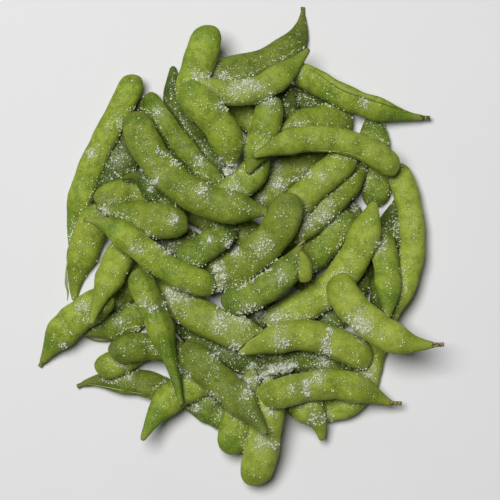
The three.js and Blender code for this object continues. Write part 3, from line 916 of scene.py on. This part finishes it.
def add_clump(salt, draw, x, y, spread, count, pile):
    """A clump of grains round a place, thickest in its middle."""
    for _ in range(TRIES * count):
        dx, dy = draw.gauss(0, 1), draw.gauss(0, 1)
        at = spot(x + dx * LOOSE * spread, y + dy * LOOSE * spread)
        uneven = LUMP_UNEVEN * noise.noise(Vector((*at, 0)) / LUMP)
        lump = uneven + LUMP_LEVEL - LUMP_FADE * math.hypot(dx, dy)
        place, normal = land(*at)
        if draw.random() > lump or place is None or normal.z < CLUMP_STEEPEST:
            continue
        heap = pile * MM * min(HIGHEST_LUMP, lump * lump)
        place = place + Vector((0, 0, draw.uniform(0, heap)))
        add_grain(salt, draw, place, normal, draw.uniform(*CLUMP_GRAINS) * MM, BLOCK)


def add_string(salt, draw, start, end, count, spread):
    """A row of grains from one place to another."""
    (x0, y0), (x1, y1) = start, end
    for _ in range(count):
        t = draw.random()
        at = spot(x0 + t * (x1 - x0) + draw.gauss(0, spread), y0 + t * (y1 - y0) + draw.gauss(0, spread))
        place, normal = land(*at)
        if place is not None:
            add_grain(salt, draw, place, normal, draw.uniform(*STRING_GRAINS) * MM, BLOCK)


def scatter(salt, draw, count, sizes):
    """Chips of salt all over the heap."""
    low, high = cad_box
    placed = 0
    while placed < count:
        x, y = draw.uniform(low[0], high[0]), draw.uniform(low[1], high[1])
        place, normal = land(x, y)
        if place is None or normal.z < SCATTER_STEEPEST:
            continue
        sunk = hollow(x, y, place.z)
        likely = EVERYWHERE + min(sunk, DEEP) / HOLLOW_FULL
        if sunk > DEEP:
            likely *= DEEP_SHARE
        patch = noise.noise(Vector((x, y, 0)) / PATCH) + PATCH_LEVEL
        likely *= OFF_PATCH + PATCH_UNEVEN * max(0.0, patch)
        if draw.random() > likely:
            continue
        add_grain(salt, draw, place, normal, draw.uniform(*sizes) * MM, CHIP)
        placed += 1


def add_salt():
    """Salt in mounds, clumps and rows, and scattered as specks and dust."""
    salt = Crumbs()
    specks = Crumbs()
    dust = Crumbs()
    draw = random.Random(23)
    for points, faces in MOUND_SHAPES:
        salt.add(points, faces)
    for clump in CLUMPS:
        add_clump(salt, draw, *clump)
    for string in STRINGS_OF_SALT:
        add_string(salt, draw, *string)
    scatter(specks, draw, SPECKS_COUNT, SPECK_SIZES)
    scatter(dust, draw, DUST_COUNT, DUST_SIZES)
    place_piece(salt.build("salt_grains", SALT))
    place_piece(specks.build("salt_specks", SPECKS))
    place_piece(dust.build("salt_dust", SPECKS))


# --- Threads --------------------------------------------------------------------------------------

THREAD_STEP = 0.8 * MM
THREAD_SIDES = 6
THREAD_END = 1.02       # above 1, so that the very end still has a little girth

# Threads that have come off a pod's seam: radius, then x, y and height above the ground, in millimetres.
DRY_THREADS = [
    (0.32, [(-79.4, -43.9, 4.4), (-77.6, -46.0, 3.3), (-75, -47.3, 2.6), (-70, -48.2, 2.2),
            (-64.2, -47.8, 2.4), (-60.5, -46.6, 2.8), (-57.4, -44.8, 3.4)]),
]
PALE_THREADS = [
    (0.46, [(-86.3, -3.4, 5.6), (-87.5, -10, 4.6), (-88.1, -15, 3.6), (-88.3, -19, 2.6),
            (-87.4, -23.5, 1.2), (-87.6, -27.6, 0.46)]),
    (0.28, [(-79, -43.9, 4.8), (-77.2, -45.7, 3.8), (-74.8, -46.9, 3.1), (-70, -47.7, 2.7),
            (-64.6, -47.4, 2.9)]),
]
# Seams that stand up from a pod's skin: radius, then x and y in millimetres.
DRY_SEAMS = [
    (0.26, [(0.2, -52), (2.6, -48.6), (6.2, -45.6), (11.4, -42.8)]),
    (0.24, [(-31.8, -75.8), (-31.4, -77.6), (-30.6, -79)]),
    (0.26, [(-29.4, -79.8), (-27.4, -80.6), (-25, -81)]),
    (0.22, [(32.2, -16.4), (32.4, -18), (32.3, -19.4)]),
]
DARK_SEAMS = [
    (0.30, [(34.6, 88.4), (37.6, 87), (41, 84.6), (46.2, 80.8), (50.6, 78.2), (54.8, 76.4), (61, 74.6),
            (68, 72.4), (75, 70.2), (82, 68.2)]),
    (0.24, [(-46.6, 72.5), (-46.2, 68.5), (-44.4, 64.5), (-41.4, 60.6), (-38, 56.6)]),
    (0.22, [(-74, -69.3), (-67, -70.2), (-60.8, -71.2), (-54.5, -72.4)]),
]
PALE_SEAMS = [
    (0.42, [(0.8, -52.3), (3.2, -49.2), (6.7, -46.3), (11.4, -43.7)]),
    (0.36, [(27.6, 29), (27.7, 27.4), (28.5, 25)]),
    (0.46, [(41.4, 86.1), (46.6, 82.2), (51, 79.6), (55.2, 77.6), (61.4, 75.9), (68.6, 73.7)]),
    (0.30, [(35.7, 47.6), (41, 47.4), (47, 47.2), (54.3, 46.2), (60, 44.3), (65, 42)]),
    (0.26, [(-77, -69.9), (-73.3, -70.3), (-67, -71.3), (-60.8, -72.5), (-54.5, -73.7), (-49, -74.7)]),
    (0.34, [(28.6, -0.4), (30.2, 1.2), (32.2, 2.6)]),
]


def add_thread(threads, radius, route):
    """A thin rod along a smooth route, drawn out to a point at both ends."""
    route = np.array(route)
    knots = np.concatenate([[0], np.linalg.norm(np.diff(route, axis=0), axis=1).cumsum()])
    rows = math.ceil(knots[-1] / THREAD_STEP) + 1
    middle = hermite(knots, route, np.linspace(0, knots[-1], rows))
    along = np.gradient(middle, axis=0)
    side = np.cross(along, UP)
    side /= np.linalg.norm(side, axis=1)[:, None]
    over = np.cross(side, along)
    over /= np.linalg.norm(over, axis=1)[:, None]
    share = np.linspace(-1, 1, rows)
    girth = (radius * MM * np.sqrt(THREAD_END - share ** 2))[:, None, None]
    angles = (np.arange(THREAD_SIDES) * 2 * math.pi / THREAD_SIDES)[None, :, None]
    points = middle[:, None] + girth * np.cos(angles) * side[:, None] + girth * np.sin(angles) * over[:, None]
    last = (rows - 1) * THREAD_SIDES
    ends = [tuple(range(THREAD_SIDES)), tuple(range(last + THREAD_SIDES - 1, last - 1, -1))]
    faces = ends + grid_faces(rows, THREAD_SIDES, 0)
    threads.add(points.reshape(-1, 3), faces)


def on_skin(route):
    """A route over the heap's skin, from places in millimetres."""
    landed = [land(*spot(x, y))[0] for x, y in route]
    return [tuple(place) for place in landed if place is not None]


def add_threads():
    """Loose threads, and seams that stand up, in three colours."""
    dry = Crumbs()
    dark = Crumbs()
    pale = Crumbs()
    groups = ((dry, DRY_THREADS, DRY_SEAMS), (dark, [], DARK_SEAMS), (pale, PALE_THREADS, PALE_SEAMS))
    for threads, loose, seams in groups:
        for radius, route in loose:
            add_thread(threads, radius, [(*spot(x, y), z * MM) for x, y, z in route])
        for radius, route in seams:
            add_thread(threads, radius, on_skin(route))
    place_piece(dry.build("dry_threads", WITHERED))
    place_piece(dark.build("dark_seams", DARK_SEAM))
    place_piece(pale.build("pale_seams", PALE_SEAM))


add_fuzz()
add_salt()
add_threads()

# --- Floor, light and camera ----------------------------------------------------------------------

FLOOR_HALF = 6.0        # so wide that its end stays out of every view
CAMERA_HEIGHT = 1.5
MID_HEAP = 0.02         # half the heap's height
VIEW_SIDE = 0.25        # width and height of what the camera sees at that height
SENSOR = 36.0           # millimetres
KEY_PLACE = (-0.7, 0.75, 2.9)
KEY_SIZE = 1.6
KEY_POWER = 91          # watts
ROOM_STRENGTH = 0.045


def add_floor():
    """A plain pale floor under the heap."""
    mesh = bpy.data.meshes.new("pale_floor")
    corners = [(x * FLOOR_HALF, y * FLOOR_HALF, 0) for x, y in ((-1, -1), (1, -1), (1, 1), (-1, 1))]
    mesh.from_pydata(corners, [], [(0, 1, 2, 3)])
    mesh.materials.append(floor_material())
    floor = bpy.data.objects.new("pale_floor", mesh)
    bpy.context.scene.collection.objects.link(floor)


def add_area_light(name, place, target, size, power):
    """A soft round light that shines at the target."""
    light = bpy.data.lights.new(name, "AREA")
    light.shape = "DISK"
    light.size = size
    light.energy = power
    lamp = bpy.data.objects.new(name, light)
    lamp.location = place
    lamp.rotation_euler = (Vector(target) - Vector(place)).to_track_quat("-Z", "Y").to_euler()
    bpy.context.scene.collection.objects.link(lamp)


def add_world(strength):
    """Even white light from all round."""
    world = bpy.data.worlds.new("soft_room")
    world.use_nodes = True
    background = world.node_tree.nodes["Background"]
    background.inputs["Color"].default_value = (1.0, 1.0, 1.0, 1.0)
    background.inputs["Strength"].default_value = strength
    bpy.context.scene.world = world


def add_camera():
    """A camera straight above the heap, that sees a square of the ground."""
    x, y = spot(*VIEW_MIDDLE)
    lens = bpy.data.cameras.new("camera")
    lens.sensor_width = SENSOR
    lens.lens = SENSOR * (CAMERA_HEIGHT - MID_HEAP) / VIEW_SIDE
    camera = bpy.data.objects.new("camera", lens)
    camera.location = (x, y, CAMERA_HEIGHT)
    bpy.context.scene.collection.objects.link(camera)
    bpy.context.scene.camera = camera


add_floor()
add_area_light("key", KEY_PLACE, (0, 0, 0), KEY_SIZE, KEY_POWER)
add_world(ROOM_STRENGTH)
add_camera()
bpy.context.scene.view_settings.view_transform = "Standard"
